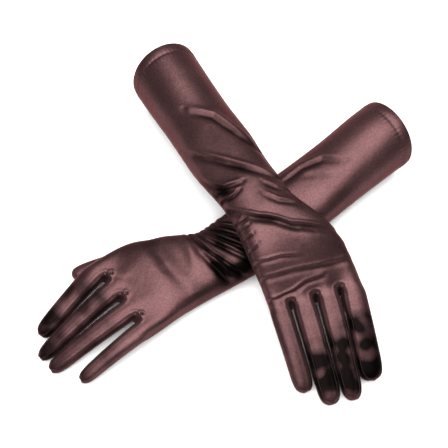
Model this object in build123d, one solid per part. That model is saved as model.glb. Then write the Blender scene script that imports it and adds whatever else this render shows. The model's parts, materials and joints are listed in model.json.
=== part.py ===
from build123d import *
import math
import os
from dataclasses import dataclass

# A pair of elbow-length opera gloves, laid palm down and crossed, the right one on top.
# Millimetres, +Z up, the gloves rest on the plane z = 0. Directions in plan are headings in
# degrees from +X, and each glove's heading runs from its hem towards its fingertips.

# ---- driving dimensions of a glove ----
fabric = 0.8  # thickness of the satin cloth
body_gap = 0.4  # clearance between pieces that move apart
sleeve_length = 214.0  # hem to wrist line, along the arm
hand_length = 90.0  # wrist line to the roots of the fingers
cuff_width = 69.0
forearm_width = 66.0
low_forearm_width = 68.0
wrist_width = 60.5
heel_width = 76.0
palm_width = 84.0
heel_share = 0.3667  # wrist line to the heel of the hand, as a share of the hand
palm_share = 0.6667  # wrist line to the middle of the palm, as a share of the hand
heel_fall = 0.1515  # how far the upper hand sinks for each millimetre from wrist to heel
palm_fall = 0.2833  # the same, from wrist to palm
thumb_bulge = 4.0  # how much further the hand reaches on its thumb side
knuckle_height = 27.0

flat_share = 0.6  # how much of a section's extra width is flat on top and below
least_flat = 2.0
hem_turn = 2.0  # degrees that the hem turns off the last leg of the sleeve
hem_depth = 12.0  # how far the folded hem reaches up the sleeve
hem_thickness = 0.8
stitch_line = 9.5  # hem edge to its line of stitches
stitch_width = 1.2
stitch_proud = 0.3

finger_names = ("little", "ring", "middle", "index")
finger_length = {"little": 75.5, "ring": 93.0, "middle": 95.0, "index": 83.0}
finger_root_width = {"little": 19.5, "ring": 22.0, "middle": 22.0, "index": 21.5}
finger_tip_width = {"little": 13.0, "ring": 15.0, "middle": 14.0, "index": 16.5}
finger_root_height = 18.0
finger_tip_height = 12.0
fingertip_length = 6.0  # the rounded end of a finger
fingertip_share = 0.55  # how much of the tip's width and height is left at its very end
corner_share = 0.42  # corner radius of a finger's section, as a share of its shorter side
root_overlap = 5.0  # what a finger is made longer by before the knuckle line cuts it
side_strip_height = 8.0  # a fourchette at the root of its finger
side_strip_tip_height = 4.5

thumb_root_width = 24.0
thumb_root_height = 15.0
thumb_tip_width = 15.0
thumb_tip_height = 12.0
thumb_swing = 35.0  # degrees that the thumb turns outwards from the hand

# ---- how the pair lies ----
press_down = 0.3  # how much of the cloth's roundness the surface flattens
tip_clearance = 0.5  # fingertips to the surface
crossing_height = 37.0  # height of the lower glove where the upper one lies on it
crossing_clearance = 1.0
wrist_height = 38.5

block_size = 1000.0  # a cutting block larger than the pair
strip_cut = 40.0  # how far the space for a fourchette reaches out of its finger's side


@dataclass
class Section:
    """One upright cross-section of a sleeve or a hand."""

    x: float
    y: float
    z: float
    heading: float
    width: float
    height: float
    lean: float = 0.0


@dataclass
class GlovePose:
    """How one glove of the pair lies. Sleeve stations run from the wrist to the hem."""

    name: str
    thumb_side: int  # +1 when the thumb is on the left of the heading, seen from above
    wrist_point: tuple
    wrist_heading: float
    take_up: float  # sleeve length that its folds take up
    sleeve_stations: list  # (distance from the wrist line, leg heading, centre z, width, height)
    hem_lean: float
    hand_stations: list  # (distance from the wrist line, leg heading, centre z, width, height)
    knuckle_heading: float
    knuckle_leg_heading: float
    knuckle_z: float
    root_gap: float  # between neighbouring fingers at their roots
    finger_reach: float  # share of a finger's length that shows in plan
    tip_spread: float  # how much wider the empty fingertips lie than they are on a hand
    splay: dict  # heading of each finger
    root_z: float
    thumb_root: tuple  # from the middle of the knuckles: forwards, towards the thumb; and its z
    thumb_tip: tuple


def unit(heading):
    """Horizontal unit vector along a heading."""
    turn = math.radians(heading)
    return Vector(math.cos(turn), math.sin(turn), 0)


def rests(height):
    """Centre height of a section of this height that the surface presses flat below."""
    return height / 2 - press_down


upper_wrist_z = crossing_height + crossing_clearance + wrist_height / 2
heel_along = heel_share * hand_length
palm_along = palm_share * hand_length

right_pose = GlovePose(
    name="right",
    thumb_side=1,
    wrist_point=(35.0, 4.0),
    wrist_heading=-58.0,
    take_up=28.0,
    sleeve_stations=[
        (20.5, -60.5, upper_wrist_z, wrist_width, 40.0),
        (67.0, -59.0, rests(50.0) + 23.0, low_forearm_width, 50.0),
        (121.0, -61.0, rests(60.0) + 6.0, forearm_width, 60.0),
    ],
    hem_lean=17.0,
    hand_stations=[
        (12.0, -57.0, upper_wrist_z, 65.0, 38.0),
        (heel_along, -52.0, upper_wrist_z - heel_fall * heel_along, heel_width, 36.0),
        (palm_along, -54.0, upper_wrist_z - palm_fall * palm_along, palm_width, 32.0),
    ],
    knuckle_heading=-73.0,
    knuckle_leg_heading=-63.0,
    knuckle_z=28.5,
    root_gap=1.5,
    finger_reach=1.0,
    tip_spread=1.33,
    splay={"little": -72.5, "ring": -74.5, "middle": -76.5, "index": -78.0},
    root_z=27.5,
    thumb_root=(-0.508 * hand_length, 25.5, 24.0),
    thumb_tip=(13.8, 22.0, 6.5),
)

left_pose = GlovePose(
    name="left",
    thumb_side=-1,
    wrist_point=(-13.0, -33.5),
    wrist_heading=-152.0,
    take_up=0.0,
    sleeve_stations=[
        (36.4, -146.0, rests(wrist_height), 65.0, wrist_height),
        (70.6, -140.0, rests(crossing_height), low_forearm_width, crossing_height),
        (109.1, -143.0, rests(41.0), low_forearm_width, 41.0),
        (156.2, -143.0, rests(56.0), forearm_width, 56.0),
    ],
    hem_lean=12.0,
    hand_stations=[
        (12.0, -162.0, rests(37.5), 66.0, 37.5),
        (heel_along, -161.0, 19.0, heel_width, 34.0),
        (palm_along, -154.0, 21.5, palm_width, 31.0),
    ],
    knuckle_heading=-143.0,
    knuckle_leg_heading=-149.0,
    knuckle_z=23.0,
    root_gap=2.5,
    finger_reach=0.93,
    tip_spread=1.05,
    splay={"little": -142.6, "ring": -143.7, "middle": -137.5, "index": -132.5},
    root_z=23.5,
    thumb_root=(-0.6933 * hand_length, 21.0, 13.0),
    thumb_tip=(20.4, 54.0, 6.5),
)


# ---- shapes that the sub-parts share ----
def outline_edges(half_width, half_height, flat):
    """The upper half of a section's outline, from its left end over the top to its right."""
    radius = half_width - flat / 2
    left = EllipticalCenterArc((-flat / 2, 0), radius, half_height, 90, arc_size=90)
    top = Line((-flat / 2, half_height), (flat / 2, half_height))
    right = EllipticalCenterArc((flat / 2, 0), radius, half_height, 0, arc_size=90)
    return [left, top, right]


def section_plane(section, upper=True):
    """The plane of a section: x across the glove, y up, or down for the lower half."""
    rise = math.radians(section.lean)
    flat_way = unit(section.heading)
    forward = Vector(flat_way.X * math.cos(rise), flat_way.Y * math.cos(rise), math.sin(rise))
    across = unit(section.heading + 90)
    normal = forward if upper else forward * -1
    return Plane(origin=(section.x, section.y, section.z), x_dir=across, z_dir=normal)


def half_sizes(section, inset):
    """Half width, half height in the section's own plane, and the flat length on its top."""
    half_width = section.width / 2 - inset
    half_height = section.height / 2 / math.cos(math.radians(section.lean)) - inset
    flat = max(least_flat, (section.width - section.height) * flat_share)
    return half_width, half_height, flat


def half_ring(section, upper):
    """The cloth's cross-section over one half of the glove."""
    outer_width, outer_height, flat = half_sizes(section, 0)
    inner_width, inner_height, flat = half_sizes(section, fabric)
    edges = outline_edges(outer_width, outer_height, flat)
    edges += outline_edges(inner_width, inner_height, flat)
    edges.append(Line((-outer_width, 0), (-inner_width, 0)))
    edges.append(Line((outer_width, 0), (inner_width, 0)))
    return section_plane(section, upper) * make_face(edges)


def full_outline(section, inset):
    """A whole closed cross-section, inside the cloth's outer face by inset."""
    half_width, half_height, flat = half_sizes(section, inset)
    upper = outline_edges(half_width, half_height, flat)
    lower = [edge.mirror(Plane.XZ) for edge in upper]
    return section_plane(section) * make_face(upper + lower)


def half_shell(sections, upper):
    """The back (upper) or front (lower) panel of cloth through the sections."""
    return loft([half_ring(section, upper) for section in sections], ruled=True)


def envelope(sections, inset):
    """Everything inside the glove's surface, drawn in by inset."""
    return loft([full_outline(section, inset) for section in sections], ruled=True)


def band(sections, outer_inset, inner_inset):
    """A closed band of cloth between two depths of the sleeve's wall."""
    return envelope(sections, outer_inset) - envelope(sections, inner_inset)


def above_surface(shape):
    """What is left of a shape once the surface has pressed its underside flat."""
    return shape - Pos(0, 0, -block_size / 2) * Box(block_size, block_size, block_size)


# ---- the sections of one glove ----
def moved(section, distance):
    """The same section, further along its own heading."""
    step = unit(section.heading) * distance
    return Section(
        section.x + step.X,
        section.y + step.Y,
        section.z,
        section.heading,
        section.width,
        section.height,
        section.lean,
    )


def wrist_section(pose):
    """The section at the wrist line."""
    z = upper_wrist_z if pose.name == "right" else rests(wrist_height)
    x, y = pose.wrist_point
    return Section(x, y, z, pose.wrist_heading, wrist_width, wrist_height)


def sleeve_sections(pose):
    """The sleeve's sections, from the wrist line to the hem."""
    length = sleeve_length - pose.take_up
    wrist = wrist_section(pose)
    sections = [wrist]
    place = Vector(wrist.x, wrist.y, 0)
    along = 0.0
    for next_along, heading, z, width, height in pose.sleeve_stations:
        place = place - unit(heading) * (next_along - along)
        sections.append(Section(place.X, place.Y, z, heading, width, height))
        along = next_along
    hem_heading = sections[-1].heading + hem_turn
    place = place - unit(hem_heading) * (length - along)
    mouth = Section(
        place.X, place.Y, rests(cuff_width), hem_heading, cuff_width, cuff_width, pose.hem_lean
    )
    return sections + [moved(mouth, hem_depth + fabric), mouth]


def knuckle_width(pose):
    """Breadth of the hand at the roots of the fingers."""
    return sum(finger_root_width.values()) + 3 * pose.root_gap


def hand_sections(pose):
    """The hand's sections, from the wrist line to the roots of the fingers."""
    wrist = wrist_section(pose)
    sections = [moved(wrist, body_gap)]
    place = Vector(wrist.x, wrist.y, 0)
    along = 0.0
    for next_along, heading, z, width, height in pose.hand_stations:
        place = place + unit(heading) * (next_along - along)
        bulge = thumb_bulge * min(1.0, next_along / palm_along) ** 2
        middle = place + unit(heading + 90) * pose.thumb_side * bulge / 2
        sections.append(Section(middle.X, middle.Y, z, heading, width + bulge, height))
        along = next_along
    place = place + unit(pose.knuckle_leg_heading) * (hand_length - along)
    knuckles = Section(
        place.X,
        place.Y,
        pose.knuckle_z,
        pose.knuckle_heading,
        knuckle_width(pose),
        knuckle_height,
    )
    return sections + [knuckles]


# ---- fingers and thumb ----
def tube(root, tip, sizes, inset, overlap):
    """A closed tapered finger of rounded-rectangle sections from root to tip.

    sizes are the root's width and height and the tip's width and height. The tube starts
    behind its root by overlap, so that a cut can give it its true end.
    """
    root_width, root_height, tip_width, tip_height = sizes
    way = tip - root
    length = way.length
    forward = way.normalized()
    across = Vector(-forward.Y, forward.X, 0).normalized()
    waist = length - fingertip_length
    stations = [
        (-overlap, root_width, root_height),
        (waist, tip_width, tip_height),
        (length - inset, tip_width * fingertip_share, tip_height * fingertip_share),
    ]
    faces = []
    for along, width, height in stations:
        plane = Plane(origin=root + forward * along, x_dir=across, z_dir=forward)
        shorter = min(width, height) - 2 * inset
        outline = RectangleRounded(width - 2 * inset, height - 2 * inset, shorter * corner_share)
        faces.append(plane * outline)
    return loft(faces, ruled=True)


def root_offset(pose, finger):
    """How far a finger's root lies from the middle of the knuckles, towards the thumb."""
    offset = -knuckle_width(pose) / 2
    for name in finger_names:
        if name == finger:
            return offset + finger_root_width[name] / 2
        offset += finger_root_width[name] + pose.root_gap
    return offset


def finger_ends(pose, finger):
    """The middle of a finger's root and its tip."""
    knuckles = hand_sections(pose)[-1]
    to_thumb = unit(pose.knuckle_heading + 90) * pose.thumb_side
    place = Vector(knuckles.x, knuckles.y, 0) + to_thumb * root_offset(pose, finger)
    root = Vector(place.X, place.Y, pose.root_z)
    reach = unit(pose.splay[finger]) * finger_length[finger] * pose.finger_reach
    tip = place + reach
    return root, Vector(tip.X, tip.Y, finger_tip_height / 2 + tip_clearance)


def beyond_knuckles(pose):
    """The space in front of the line where the fingers leave the hand."""
    knuckles = moved(hand_sections(pose)[-1], body_gap)
    block = Pos(0, 0, block_size / 2) * Box(block_size, block_size, block_size)
    return section_plane(knuckles) * block


def side_strip_space(pose, finger, towards_thumb):
    """The tapering space that one fourchette takes out of its finger's side."""
    root, tip = finger_ends(pose, finger)
    forward = (tip - root).normalized()
    across = Vector(-forward.Y, forward.X, 0).normalized()
    side = pose.thumb_side if towards_thumb else -pose.thumb_side
    length = (tip - root).length - fingertip_length
    faces = []
    for along, height in ((-root_overlap, side_strip_height), (length, side_strip_tip_height)):
        middle = root + forward * along + across * side * strip_cut / 2
        plane = Plane(origin=middle, x_dir=across, z_dir=forward)
        faces.append(plane * Rectangle(strip_cut, height))
    return loft(faces, ruled=True)


def over_axis(pose, finger):
    """The space above a finger's mid plane."""
    root, tip = finger_ends(pose, finger)
    forward = (tip - root).normalized()
    across = Vector(-forward.Y, forward.X, 0).normalized()
    plane = Plane(origin=root, x_dir=across, z_dir=forward)
    block = Pos(0, block_size / 2, 0) * Box(block_size, block_size, block_size)
    return plane * block


def finger_sizes(pose, finger):
    """Root width and height, tip width and height of a finger."""
    return (
        finger_root_width[finger],
        finger_root_height,
        finger_tip_width[finger] * pose.tip_spread,
        finger_tip_height,
    )


def finger_pieces(pose, finger):
    """The back and palm panels of a finger and the fourchettes between them."""
    root, tip = finger_ends(pose, finger)
    outside = tube(root, tip, finger_sizes(pose, finger), 0, root_overlap)
    inside = tube(root, tip, finger_sizes(pose, finger), fabric, root_overlap)
    skin = (outside - inside) & beyond_knuckles(pose)
    pieces = {}
    strips = []
    if finger != "little":
        strips.append(("outer", False))
    if finger != "index":
        strips.append(("inner", True))
    for strip_name, towards_thumb in strips:
        space = side_strip_space(pose, finger, towards_thumb)
        pieces[f"{pose.name}_{finger}_fourchette_{strip_name}"] = skin & space
        skin = skin - space
    upper = over_axis(pose, finger)
    pieces[f"{pose.name}_{finger}_back"] = skin & upper
    pieces[f"{pose.name}_{finger}_palm"] = skin - upper
    return pieces


def thumb_ends(pose):
    """The middle of the thumb's root and its tip."""
    knuckles = hand_sections(pose)[-1]
    forward = unit(pose.knuckle_heading)
    to_thumb = unit(pose.knuckle_heading + 90) * pose.thumb_side
    ends = []
    for ahead, aside, z in (pose.thumb_root, pose.thumb_tip):
        ends.append(Vector(knuckles.x, knuckles.y, 0) + forward * ahead + to_thumb * aside + Vector(0, 0, z))
    return ends


def thumb_solid(pose, inset):
    """The thumb's outer form, or the hollow inside it."""
    root, tip = thumb_ends(pose)
    sizes = (thumb_root_width, thumb_root_height, thumb_tip_width, thumb_tip_height)
    return tube(root, tip, sizes, inset, inset)


def thumb_pivot(pose):
    """Where the thumb turns: the outer corner of its root, at the side of the hand."""
    root, tip = thumb_ends(pose)
    outwards = Vector(root.Y - tip.Y, tip.X - root.X, 0).normalized() * pose.thumb_side
    return root + outwards * thumb_root_width / 2


def thumb_piece(pose):
    """The one-piece thumb, its open end cut to clear the hand all through its swing."""
    thumb = thumb_solid(pose, 0) - thumb_solid(pose, fabric)
    hand = envelope(hand_sections(pose), -body_gap)
    pivot = thumb_pivot(pose)
    for share in (0, 1 / 3, 2 / 3, 1):
        back = Rot(0, 0, -pose.thumb_side * share * thumb_swing)
        thumb = thumb - Pos(pivot) * back * Pos(-pivot) * hand
    return max(thumb.solids(), key=lambda solid: solid.volume)


# ---- one whole glove ----
def glove(pose):
    """Every piece of one glove by name."""
    name = pose.name
    sleeve = sleeve_sections(pose)
    hand = hand_sections(pose)
    hem = sleeve[-2:]
    mouth = hem[-1]
    edge_of_band = moved(mouth, hem_depth)
    stitches = [moved(mouth, stitch_line), moved(mouth, stitch_line + stitch_width)]
    thumb_hole = thumb_solid(pose, fabric)
    pieces = {
        f"{name}_sleeve_back": half_shell(sleeve, True),
        f"{name}_sleeve_front": half_shell(sleeve, False),
        f"{name}_cuff_hem": band([edge_of_band, mouth], fabric, fabric + hem_thickness),
        f"{name}_hem_stitching": band(stitches, -stitch_proud, 0),
        f"{name}_hand_back": half_shell(hand, True) - thumb_hole,
        f"{name}_hand_palm": half_shell(hand, False) - thumb_hole,
        f"{name}_thumb": thumb_piece(pose),
    }
    for finger in finger_names:
        pieces.update(finger_pieces(pose, finger))
    return {key: above_surface(piece) for key, piece in pieces.items()}


def main():
    """Builds both gloves, centres the pair and writes one file for each piece."""
    pieces = {**glove(right_pose), **glove(left_pose)}
    pair = Compound(children=[piece.solids()[0] for piece in pieces.values()])
    box = pair.bounding_box()
    shift = Pos(-box.center().X, -box.center().Y, -box.min.Z)
    os.makedirs("parts", exist_ok=True)
    for node, piece in pieces.items():
        export_step(shift * piece, f"parts/{node}.step")
    print("pair", box.size, "moved by", shift.position)


main()
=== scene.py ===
"""The looks of a pair of elbow-length satin opera gloves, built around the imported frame.

Each glove is one skin, modelled as by hand: a ring of edges at the hem is extruded up the
sleeve and over the hand, split into four fingers, and smoothed. Its folds are then pressed
into it, and it is taken apart along its seams into the panels that a glove maker would cut.
"""
import json
import logging
import math
from dataclasses import dataclass
from enum import Enum

import bmesh
import bpy
import numpy as np
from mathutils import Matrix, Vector
from mathutils.kdtree import KDTree


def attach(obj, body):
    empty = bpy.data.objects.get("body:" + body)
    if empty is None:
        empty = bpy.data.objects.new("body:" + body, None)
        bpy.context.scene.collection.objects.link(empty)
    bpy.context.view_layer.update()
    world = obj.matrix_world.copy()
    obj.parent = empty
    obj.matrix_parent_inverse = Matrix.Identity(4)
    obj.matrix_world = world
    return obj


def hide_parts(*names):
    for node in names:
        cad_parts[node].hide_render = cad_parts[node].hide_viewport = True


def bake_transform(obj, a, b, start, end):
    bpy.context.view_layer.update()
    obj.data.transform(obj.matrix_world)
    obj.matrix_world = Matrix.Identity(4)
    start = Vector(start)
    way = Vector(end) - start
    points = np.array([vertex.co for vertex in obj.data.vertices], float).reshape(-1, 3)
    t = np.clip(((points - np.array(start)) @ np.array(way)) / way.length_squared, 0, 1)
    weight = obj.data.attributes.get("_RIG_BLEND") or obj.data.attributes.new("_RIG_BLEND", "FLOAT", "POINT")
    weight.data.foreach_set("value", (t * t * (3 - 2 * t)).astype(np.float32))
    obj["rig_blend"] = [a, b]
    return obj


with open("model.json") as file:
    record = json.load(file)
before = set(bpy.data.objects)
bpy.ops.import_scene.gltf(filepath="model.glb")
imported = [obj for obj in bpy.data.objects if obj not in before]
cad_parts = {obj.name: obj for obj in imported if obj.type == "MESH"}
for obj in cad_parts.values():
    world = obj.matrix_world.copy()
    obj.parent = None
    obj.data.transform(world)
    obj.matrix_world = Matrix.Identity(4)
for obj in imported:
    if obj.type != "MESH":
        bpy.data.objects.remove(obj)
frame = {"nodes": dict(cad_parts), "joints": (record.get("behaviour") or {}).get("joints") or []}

log = logging.getLogger("opera_gloves")
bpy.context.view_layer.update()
MM = 0.001
UP = np.array([0.0, 0.0, 1.0])

Array = np.ndarray


# ---------------------------------------------------------------- choices and layout
class Side(Enum):
    """Which hand a glove is for."""

    RIGHT = "right"
    LEFT = "left"


class Finger(Enum):
    """The four fingers, in order from the little finger to the thumb side."""

    LITTLE = "little"
    RING = "ring"
    MIDDLE = "middle"
    INDEX = "index"


class Panel(Enum):
    """Which cut piece of cloth a face of the skin belongs to."""

    SLEEVE_BACK = 1
    SLEEVE_FRONT = 2
    HAND_BACK = 3
    HAND_PALM = 4
    THUMB = 6
    FINGER_BACK = 10
    FINGER_PALM = 20
    FOURCHETTE_OUTER = 30
    FOURCHETTE_INNER = 40


FINGERS = list(Finger)
RING_SIZE = 26  # corners round the sleeve and the hand
HALF_RING = RING_SIZE // 2  # the corner on the thumb side; corner 0 is on the little side
GAPS = len(FINGERS) - 1  # between neighbouring fingers
SMOOTH_LEVELS = 3
WEB_ROW = 90  # row numbers of the corners that lie beyond the knuckles
FINGER_ROW = 100
FINGER_ROWS_APART = 20
THUMB_ROW = 1000
DIGIT_CORNERS = 8  # corners round a finger or the thumb


# ---------------------------------------------------------------- measuring the frame
@dataclass
class Station:
    """One cross-section of a sleeve, hand, finger or thumb, in metres.

    heading points towards the fingertips and across points towards the thumb.
    """

    centre: Array
    heading: Array
    across: Array
    half_width: float
    top: float
    bottom: float
    along: float = 0.0


def flat_unit(vector: Array) -> Array:
    """Returns the horizontal unit vector along a vector."""
    flat = np.array([vector[0], vector[1], 0.0])
    return flat / np.linalg.norm(flat)


def turned(vector: Array, degrees: float) -> Array:
    """Returns a vector turned about +Z."""
    angle = math.radians(degrees)
    cos, sin = math.cos(angle), math.sin(angle)
    return np.array([cos * vector[0] - sin * vector[1], sin * vector[0] + cos * vector[1], vector[2]])


def smooth_step(value: Array | float) -> Array | float:
    """Returns 0 below 0, 1 above 1 and an even rise between them."""
    clipped = np.clip(value, 0.0, 1.0)
    return clipped * clipped * (3 - 2 * clipped)


def read(items: bpy.types.bpy_prop_collection, field: str, width: int = 1, kind: type = float) -> Array:
    """Reads one field of all of a mesh's corners, edges, faces or loops.

    Args:
        items: what to read from.
        field: the field's name.
        width: how many numbers it has.
        kind: what kind of number.

    Returns:
        The numbers, with a row for each item where the field is wider than one.
    """
    values = np.zeros(len(items) * width, dtype=kind)
    items.foreach_get(field, values)
    return values.reshape(-1, width) if width > 1 else values


def mesh_points(mesh: bpy.types.Mesh) -> Array:
    """Returns a mesh's corners."""
    return read(mesh.vertices, "co", 3)


def node_points(name: str) -> Array:
    """Returns the corners of a CAD node's mesh."""
    return mesh_points(frame["nodes"][name].data)


def cut_points(names: list[str], point: Array, heading: Array) -> Array:
    """Cuts CAD nodes with an upright plane.

    Args:
        names: the nodes to cut.
        point: a point on the plane.
        heading: the plane's normal.

    Returns:
        The points where the nodes' edges pass through the plane.
    """
    found = []
    for name in names:
        points = node_points(name)
        mesh = frame["nodes"][name].data
        ends = read(mesh.edges, "vertices", 2, np.int64)
        reach = (points - point) @ heading
        first, second = reach[ends[:, 0]], reach[ends[:, 1]]
        crossing = first * second < 0
        share = (first[crossing] / (first[crossing] - second[crossing]))[:, None]
        start, end = points[ends[crossing, 0]], points[ends[crossing, 1]]
        found.append(start + (end - start) * share)
    return np.vstack(found)


def measure(names: list[str], point: Array, heading: Array, across: Array) -> Station:
    """Measures CAD nodes where an upright plane cuts them.

    Args:
        names: the nodes to cut.
        point: a point on the plane, inside the nodes.
        heading: the plane's normal, towards the fingertips.
        across: horizontal direction in the plane, towards the thumb.

    Returns:
        The section, its centre in the middle of its width and height.
    """
    points = cut_points(names, point, heading)
    sideways = (points - point) @ across
    low, high = sideways.min(), sideways.max()
    floor, crown = points[:, 2].min(), points[:, 2].max()
    centre = point + across * (low + high) / 2
    centre = np.array([centre[0], centre[1], (floor + crown) / 2])
    half_height = (crown - floor) / 2
    return Station(centre, heading, across, (high - low) / 2, half_height, half_height)


def joint(name: str) -> dict:
    """Returns the record's joint of that name."""
    return next(found for found in frame["joints"] if found["name"] == name)


def blended(stations: list[Station]) -> list[Station]:
    """Evens out the kinks between neighbouring measured sections.

    Args:
        stations: sections in order.

    Returns:
        The same sections, each but the first and last averaged with its neighbours.
    """
    smooth = [stations[0]]
    for before, here, after in zip(stations, stations[1:], stations[2:]):
        mixed = [
            (getattr(before, part) + 2 * getattr(here, part) + getattr(after, part)) / 4
            for part in ("centre", "heading", "across", "half_width", "top", "bottom")
        ]
        mixed[1] = flat_unit(mixed[1])
        mixed[2] = flat_unit(mixed[2])
        smooth.append(Station(*mixed))
    return smooth + [stations[-1]]


def with_lengths(stations: list[Station], origin: int) -> list[Station]:
    """Sets each station's distance along the row, counted from the station numbered origin."""
    steps = [0.0]
    for before, here in zip(stations, stations[1:]):
        steps.append(steps[-1] + float(np.linalg.norm((here.centre - before.centre)[:2])))
    for station, length in zip(stations, steps):
        station.along = length - steps[origin]
    return stations


def interpolate(stations: list[Station], along: float) -> Station:
    """Returns the section at a distance along a row of stations."""
    lengths = [station.along for station in stations]
    parts = []
    for part in ("centre", "heading", "across", "half_width", "top", "bottom"):
        values = np.array([np.atleast_1d(getattr(station, part)) for station in stations])
        columns = [np.interp(along, lengths, values[:, i]) for i in range(values.shape[1])]
        parts.append(np.array(columns) if len(columns) > 1 else float(columns[0]))
    parts[1] = flat_unit(parts[1])
    parts[2] = flat_unit(parts[2])
    return Station(*parts, along)


# ---------------------------------------------------------------- finishes
class Bench:
    """Where the shader nodes of one finish are put together."""

    def __init__(self, name: str) -> None:
        """Starts a material of that name."""
        self.material = bpy.data.materials.new(name)
        self.material.use_nodes = True
        self.nodes, self.links = self.material.node_tree.nodes, self.material.node_tree.links
        self.shader = self.nodes["Principled BSDF"]
        self.place = self.nodes.new("ShaderNodeTexCoord")

    def add(self, kind: str, settings: dict, sources: dict) -> bpy.types.Node:
        """Adds a node.

        Args:
            kind: the node's type.
            settings: the values of its inputs, by name.
            sources: the sockets that feed its other inputs, by name.

        Returns:
            The node.
        """
        node = self.nodes.new(kind)
        for name, value in settings.items():
            node.inputs[name].default_value = value
        for name, socket in sources.items():
            self.links.new(socket, node.inputs[name])
        return node

    def sum_up(self, operation: str, *terms: float | bpy.types.NodeSocket) -> bpy.types.NodeSocket:
        """Returns the result of a sum whose terms are numbers or sockets."""
        node = self.nodes.new("ShaderNodeMath")
        node.operation = operation
        for place, term in enumerate(terms):
            if isinstance(term, float):
                node.inputs[place].default_value = term
            else:
                self.links.new(term, node.inputs[place])
        return node.outputs["Value"]

    def feed(self, name: str, socket: bpy.types.NodeSocket) -> None:
        """Lets a socket drive one of the finish's own inputs."""
        self.links.new(socket, self.shader.inputs[name])


@dataclass(frozen=True)
class Cloth:
    """A woven finish with its own colours, sheen and weave.

    Colours are linear. The weave lies in the piece's own UV map, in millimetres.
    """

    name: str
    deep: tuple
    light: tuple
    roughness: float
    gloss: float
    sheen: float
    sheen_tint: tuple
    anisotropy: float
    lustre: float
    edge_tint: tuple
    grain_depth: float
    crumple_depth: float
    fleck: float
    wear: float = 0.05

    def make(self) -> bpy.types.Material:
        """Builds the finish as a material.

        Returns:
            A material with patchy colour and painted shade, a fine weave and small soft crumples.
        """
        bench = Bench(self.name)
        self.set_shine(bench.shader)
        whole, cloth_map = bench.place.outputs["Object"], bench.place.outputs["UV"]
        patches = bench.add("ShaderNodeTexNoise", {"Scale": 26.0, "Detail": 4.0}, {"Vector": whole})
        bench.feed("Base Color", self.colour(bench, patches).outputs["Vector"])
        wear = bench.add(
            "ShaderNodeMapRange",
            {"To Min": self.roughness - self.wear, "To Max": self.roughness + self.wear},
            {"Value": patches.outputs["Fac"]},
        )
        bench.feed("Roughness", wear.outputs["Result"])
        crumple = bench.add("ShaderNodeTexNoise", {"Scale": 160.0, "Detail": 3.0}, {"Vector": whole})
        soft = bench.add(
            "ShaderNodeBump",
            {"Strength": self.crumple_depth, "Distance": 0.0012},
            {"Height": crumple.outputs["Fac"]},
        )
        floats = bench.add("ShaderNodeMapping", {"Scale": (1.0, 0.35, 1.0)}, {"Vector": cloth_map})
        threads = floats.outputs["Vector"]
        grain = bench.add("ShaderNodeTexNoise", {"Scale": 1.6, "Detail": 2.0}, {"Vector": threads})
        fine = bench.add(
            "ShaderNodeBump",
            {"Strength": self.grain_depth, "Distance": 0.0004},
            {"Height": grain.outputs["Fac"], "Normal": soft.outputs["Normal"]},
        )
        bench.feed("Normal", fine.outputs["Normal"])
        return bench.material

    def set_shine(self, shader: bpy.types.Node) -> None:
        """Sets the parts of the finish that are the same all over."""
        for name, value in {
            "Specular IOR Level": self.gloss,
            "Specular Tint": (*self.edge_tint, 1),
            "Metallic": self.lustre,
            "Sheen Weight": self.sheen,
            "Sheen Tint": (*self.sheen_tint, 1),
            "Sheen Roughness": 0.45,
            "Anisotropic": self.anisotropy,
        }.items():
            shader.inputs[name].default_value = value

    def colour(self, bench: Bench, patches: bpy.types.Node) -> bpy.types.Node:
        """Mixes the cloth's colour, flecked, with painted shade where the shade attribute says so.

        Args:
            bench: where the finish is put together.
            patches: the noise that moves the colour between deep and light.

        Returns:
            The node that gives the colour.
        """
        whole = bench.place.outputs["Object"]
        tones = bench.add("ShaderNodeValToRGB", {}, {"Fac": patches.outputs["Fac"]})
        for end, position, colour in zip(tones.color_ramp.elements, (0.3, 0.7), (self.deep, self.light)):
            end.position = position
            end.color = (*colour, 1)
        speckle = bench.add("ShaderNodeTexNoise", {"Scale": 620.0, "Detail": 2.0}, {"Vector": whole})
        flecks = bench.add(
            "ShaderNodeMapRange",
            {"From Min": 0.3, "From Max": 0.7, "To Min": 1.0 - self.fleck, "To Max": 1.0 + self.fleck},
            {"Value": speckle.outputs["Fac"]},
        )
        # Painted shade from the shade attribute, broken up by blotchy noise into lighter patches that stand
        # for painted highlights.
        painted = bench.add("ShaderNodeAttribute", {}, {})
        painted.attribute_name = "shade"
        blotches = bench.add("ShaderNodeTexNoise", {"Scale": 75.0, "Detail": 0.0}, {"Vector": whole})
        broken = bench.add(
            "ShaderNodeMapRange",
            {"From Min": 0.46, "From Max": 0.8, "To Min": 1.03, "To Max": 0.3},
            {"Value": blotches.outputs["Fac"]},
        )
        dark = bench.sum_up("MULTIPLY", painted.outputs["Fac"], broken.outputs["Result"])
        kept = bench.sum_up("SUBTRACT", 1.0, dark)
        level = bench.sum_up("MULTIPLY", kept, flecks.outputs["Result"])
        cloth = bench.add("ShaderNodeVectorMath", {}, {})
        cloth.operation = "SCALE"
        bench.links.new(tones.outputs["Color"], cloth.inputs["Vector"])
        bench.links.new(level, cloth.inputs["Scale"])
        return cloth


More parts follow.
